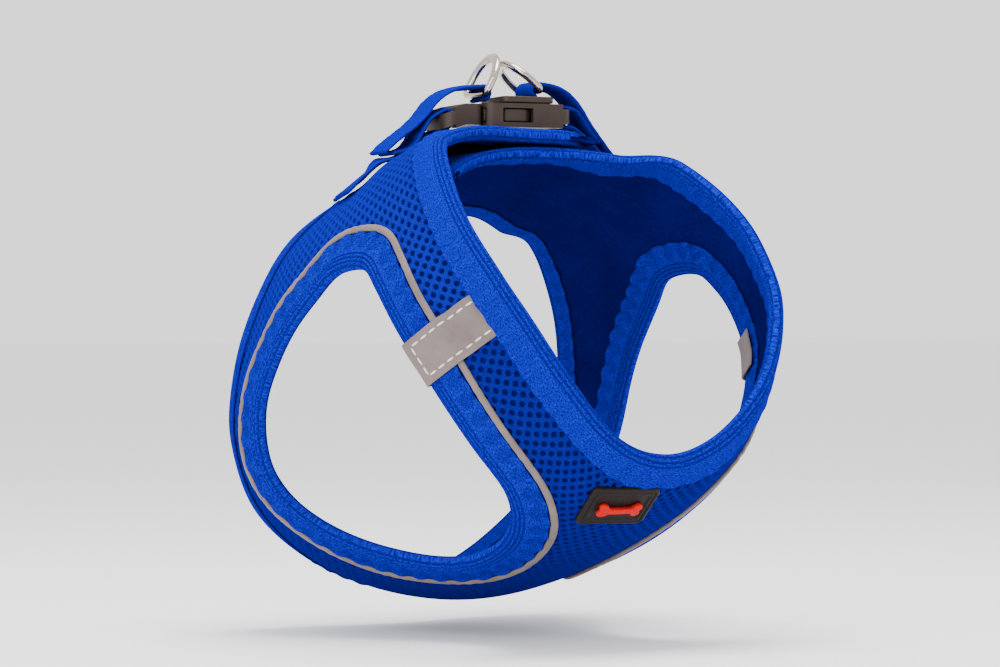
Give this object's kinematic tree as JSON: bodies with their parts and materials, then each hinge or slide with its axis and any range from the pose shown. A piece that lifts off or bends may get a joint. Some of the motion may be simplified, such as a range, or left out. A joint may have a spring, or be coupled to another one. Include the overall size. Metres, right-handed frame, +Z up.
{
  "type": "dog harness vest",
  "caption": "Step-in air-mesh vest harness for a small dog, with bound armholes, reflective shoulder tabs, a lapped back closure, a side-release buckle and leash D-rings.",
  "frame": {"origin": "the middle of the wearer's trunk: midway between the sides, 70 mm above the belly's lowest point, 6 mm behind the neck edge at the spine", "axes": "+Z up to the back and the buckle, -Y towards the dog's head, -X the dog's right side"},
  "size_m": [0.1538, 0.1606, 0.1841],
  "materials": {
    "air_mesh": "knitted spacer mesh, matt",
    "lining": "brushed tricot, matt",
    "elastic": "ribbed folded elastic, soft sheen",
    "reflective": "grey reflective tape, satin",
    "webbing": "woven webbing, matt",
    "hook_and_loop": "hook-and-loop tape, matt",
    "buckle_plastic": "moulded acetal, fine grain",
    "rubber": "moulded soft rubber",
    "emblem": "raised soft rubber",
    "steel": "nickel-plated wire"
  },
  "bodies": {
    "root": {"chest_mesh": "air_mesh", "chest_lining": "lining", "right_mesh": "air_mesh", "right_lining": "lining", "left_mesh": "air_mesh", "left_lining": "lining", "right_armhole_binding": "elastic", "left_armhole_binding": "elastic", "right_flap_binding": "elastic", "left_flap_binding": "elastic", "neck_binding": "elastic", "rear_binding": "elastic", "right_piping": "reflective", "left_piping": "reflective", "right_shoulder_tab": "reflective", "left_shoulder_tab": "reflective", "badge": "rubber", "badge_emblem": "emblem", "hook_strip": "hook_and_loop", "loop_strip": "hook_and_loop", "right_strap": "webbing", "left_strap": "webbing", "right_ring_loop": "webbing", "buckle_plug": "buckle_plastic"},
    "socket": {"buckle_socket": "buckle_plastic", "ring_bridge": "buckle_plastic", "left_ring_loop": "webbing"},
    "front_arm": {"front_latch_arm": "buckle_plastic"},
    "rear_arm": {"rear_latch_arm": "buckle_plastic"},
    "right_ring": {"right_d_ring": "steel"},
    "left_ring": {"left_d_ring": "steel"}
  },
  "joints": [
    {"name": "buckle_release", "type": "slide", "parent": "root", "child": "socket", "axis": [0.9781, -0.2079, 0], "range_m": [0, 0.022], "deforming": ["left_strap", "front_latch_arm", "rear_latch_arm"]},
    {"name": "front_latch_press", "type": "hinge", "parent": "root", "child": "front_arm", "pos_m": [-0.00103, 0.00905, 0.091], "axis": [0, 0, 1], "range_deg": [0, 8], "stiffness_Nm_per_rad": 0.3, "springref_deg": -5.73},
    {"name": "rear_latch_press", "type": "hinge", "parent": "root", "child": "rear_arm", "pos_m": [0.00179, 0.02236, 0.091], "axis": [0, 0, -1], "range_deg": [0, 8], "stiffness_Nm_per_rad": 0.3, "springref_deg": -5.73},
    {"name": "right_ring_swing", "type": "hinge", "parent": "root", "child": "right_ring", "pos_m": [0.00106, 0.01556, 0.0985], "axis": [-0.2079, -0.9781, 0], "range_deg": [0, 85]},
    {"name": "left_ring_swing", "type": "hinge", "parent": "socket", "child": "left_ring", "pos_m": [0.02063, 0.0114, 0.0999], "axis": [0.2079, 0.9781, 0], "range_deg": [0, 105]}
  ]
}
